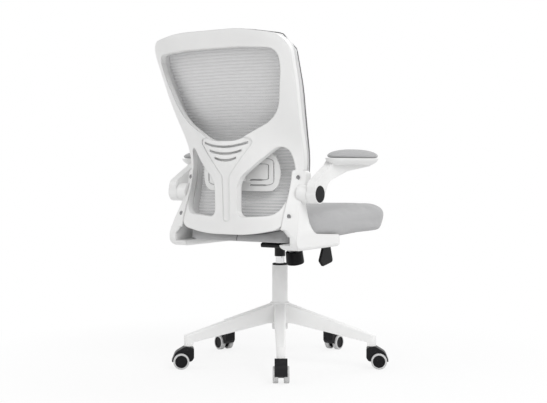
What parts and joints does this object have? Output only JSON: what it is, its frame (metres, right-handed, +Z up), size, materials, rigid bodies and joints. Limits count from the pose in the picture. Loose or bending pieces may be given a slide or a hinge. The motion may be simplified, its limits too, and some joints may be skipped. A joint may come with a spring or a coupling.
{
  "type": "office_chair",
  "caption": "White office swivel chair with a grey padded seat, mesh back on a forked frame, lumbar pad, flip-up arms, gas lift and casters",
  "frame": {"origin": "On the floor under the axis of the column", "axes": "+Z up, the sitter faces -Y, +X is the sitter's left"},
  "size_m": [0.6887, 0.7377, 1.033],
  "materials": {
    "white_nylon": "satin",
    "white_paint": "satin",
    "black_plastic": "satin",
    "black_paint": "satin",
    "zinc_steel": "brushed",
    "polished_chrome": "polished",
    "plywood": "matte",
    "grey_fabric": "woven",
    "grey_mesh": "woven mesh",
    "grey_plastic": "matte",
    "grey_rubber": "matte"
  },
  "bodies": {
    "base": {"base_star": "white_nylon", "caster_stems": "zinc_steel", "column_tube": "white_paint", "column_bush": "black_plastic"},
    "spindle": {"piston_rod": "zinc_steel", "swivel_bearing": "zinc_steel"},
    "lift": {"gas_cylinder": "polished_chrome", "tilt_housing": "black_paint", "tilt_pin": "zinc_steel", "tension_spring": "zinc_steel"},
    "valve": {"gas_valve": "black_plastic"},
    "lever_pivot": {"lever_bush": "black_plastic"},
    "lever": {"lever_rod": "black_paint", "lever_paddle": "black_plastic"},
    "seat": {"seat_plate": "black_paint", "tension_bolt": "zinc_steel", "seat_board": "plywood", "seat_cushion": "grey_fabric", "seat_bolts": "black_paint", "back_frame": "white_nylon", "mesh_ring": "grey_plastic", "back_mesh": "grey_mesh", "back_screws": "black_paint", "arm_bracket_left": "white_nylon", "arm_bracket_right": "white_nylon", "arm_pin_left": "zinc_steel", "arm_pin_right": "zinc_steel"},
    "knob": {"tension_knob": "black_plastic"},
    "lumbar": {"lumbar_pad": "white_nylon", "lumbar_slider": "white_nylon"},
    "arm_left": {"arm_left": "white_nylon", "arm_pad_left": "grey_fabric", "arm_cap_left": "black_plastic"},
    "arm_right": {"arm_right": "white_nylon", "arm_pad_right": "grey_fabric", "arm_cap_right": "black_plastic"},
    "caster_1": {"caster_1_hood": "black_plastic"},
    "caster_1_roll": {"caster_1_axle": "zinc_steel", "caster_1_wheels": "black_plastic", "caster_1_tyres": "grey_rubber"},
    "caster_2": {"caster_2_hood": "black_plastic"},
    "caster_2_roll": {"caster_2_axle": "zinc_steel", "caster_2_wheels": "black_plastic", "caster_2_tyres": "grey_rubber"},
    "caster_3": {"caster_3_hood": "black_plastic"},
    "caster_3_roll": {"caster_3_axle": "zinc_steel", "caster_3_wheels": "black_plastic", "caster_3_tyres": "grey_rubber"},
    "caster_4": {"caster_4_hood": "black_plastic"},
    "caster_4_roll": {"caster_4_axle": "zinc_steel", "caster_4_wheels": "black_plastic", "caster_4_tyres": "grey_rubber"},
    "caster_5": {"caster_5_hood": "black_plastic"},
    "caster_5_roll": {"caster_5_axle": "zinc_steel", "caster_5_wheels": "black_plastic", "caster_5_tyres": "grey_rubber"}
  },
  "joints": [
    {"name": "seat_swivel", "type": "hinge", "parent": "base", "child": "spindle", "pos_m": [0, 0, 0.118], "axis": [0, 0, 1], "continuous": true},
    {"name": "seat_height", "type": "slide", "parent": "spindle", "child": "lift", "axis": [0, 0, 1], "range_m": [0, 0.1]},
    {"name": "lever_lift", "type": "hinge", "parent": "lift", "child": "lever_pivot", "pos_m": [-0.0406, 0, 0.3964], "axis": [0, 1, 0], "range_deg": [0, 4], "stiffness_Nm_per_rad": 2, "springref_deg": -8.59},
    {"name": "lever_pull", "type": "slide", "parent": "lever_pivot", "child": "lever", "axis": [-1, 0, 0], "range_m": [0, 0.01]},
    {"name": "valve_press", "type": "slide", "parent": "lift", "child": "valve", "axis": [0, 0, -1], "range_m": [0, 0.0033]},
    {"name": "seat_tilt", "type": "hinge", "parent": "lift", "child": "seat", "pos_m": [0, -0.032, 0.392], "axis": [-1, 0, 0], "range_deg": [0, 10], "stiffness_Nm_per_rad": 150, "springref_deg": -20.05, "deforming": ["tension_spring"]},
    {"name": "knob_turn", "type": "hinge", "parent": "seat", "child": "knob", "pos_m": [0, -0.0927, 0.3138], "axis": [0, 0.2079, 0.9781], "continuous": true},
    {"name": "lumbar_slide", "type": "slide", "parent": "seat", "child": "lumbar", "axis": [0, 0, 1], "range_m": [-0.02, 0.03]},
    {"name": "arm_left_flip", "type": "hinge", "parent": "seat", "child": "arm_left", "pos_m": [0.26, 0.2, 0.555], "axis": [-1, 0, 0], "range_deg": [0, 90]},
    {"name": "arm_right_flip", "type": "hinge", "parent": "seat", "child": "arm_right", "pos_m": [-0.26, 0.2, 0.555], "axis": [-1, 0, 0], "range_deg": [0, 90]},
    {"name": "caster_1_swivel", "type": "hinge", "parent": "base", "child": "caster_1", "pos_m": [0.18567, 0.24197, 0.056], "axis": [0, 0, 1], "continuous": true},
    {"name": "caster_1_spin", "type": "hinge", "parent": "caster_1", "child": "caster_1_roll", "pos_m": [0.2024, 0.25626, 0.025], "axis": [-0.6494, 0.7604, 0], "continuous": true},
    {"name": "caster_2_swivel", "type": "hinge", "parent": "base", "child": "caster_2", "pos_m": [-0.17275, 0.25136, 0.056], "axis": [0, 0, 1], "continuous": true},
    {"name": "caster_2_spin", "type": "hinge", "parent": "caster_2", "child": "caster_2_roll", "pos_m": [-0.18521, 0.26949, 0.025], "axis": [-0.8241, -0.5664, 0], "continuous": true},
    {"name": "caster_3_swivel", "type": "hinge", "parent": "base", "child": "caster_3", "pos_m": [-0.29244, -0.08662, 0.056], "axis": [0, 0, 1], "continuous": true},
    {"name": "caster_3_spin", "type": "hinge", "parent": "caster_3", "child": "caster_3_roll", "pos_m": [-0.31177, -0.09712, 0.025], "axis": [0.4772, -0.8788, 0], "continuous": true},
    {"name": "caster_4_swivel", "type": "hinge", "parent": "base", "child": "caster_4", "pos_m": [-0.00798, -0.3049, 0.056], "axis": [0, 0, 1], "continuous": true},
    {"name": "caster_4_spin", "type": "hinge", "parent": "caster_4", "child": "caster_4_roll", "pos_m": [-0.00856, -0.32689, 0.025], "axis": [0.9997, -0.0262, 0], "continuous": true},
    {"name": "caster_5_swivel", "type": "hinge", "parent": "base", "child": "caster_5", "pos_m": [0.28751, -0.10181, 0.056], "axis": [0, 0, 1], "continuous": true},
    {"name": "caster_5_spin", "type": "hinge", "parent": "caster_5", "child": "caster_5_roll", "pos_m": [0.30824, -0.10916, 0.025], "axis": [0.3338, 0.9426, 0], "continuous": true}
  ],
  "couplings": [
    {"joint": "valve_press", "follows": "lever_lift", "m_per_rad": 0.046}
  ]
}
